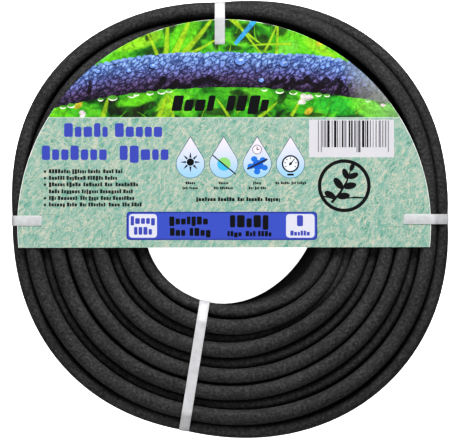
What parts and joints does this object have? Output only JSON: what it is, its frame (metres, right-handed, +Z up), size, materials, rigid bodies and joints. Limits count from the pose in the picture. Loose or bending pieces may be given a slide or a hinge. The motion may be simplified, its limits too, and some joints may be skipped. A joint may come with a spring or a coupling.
{
  "type": "soaker hose",
  "caption": "Porous rubber soaker hose wound into a flat round coil, held by plastic straps through its hole, with a printed half-round label card on top.",
  "frame": {"origin": "centre of the object's box at floor level, on the coil's axis", "axes": "+Z up along the coil's axis, through its hole; +Y towards the card's arc, away from its straight edge; +X to the right when the card is read from above"},
  "size_m": [0.4522, 0.4523, 0.194],
  "materials": {
    "porous_rubber": "matte charcoal recycled crumb rubber, finely pitted",
    "printed_card": "semi-gloss printed card, pale green and blue artwork, white core at the cut edges",
    "strap_plastic": "translucent white strapping, slightly glossy"
  },
  "bodies": {
    "root": {"hose_coil": "porous_rubber", "hose_outer_end": "porous_rubber", "hose_inner_end": "porous_rubber", "label_card": "printed_card", "strap_top": "strap_plastic", "strap_left": "strap_plastic", "strap_right": "strap_plastic", "strap_bottom": "strap_plastic"}
  },
  "joints": []
}
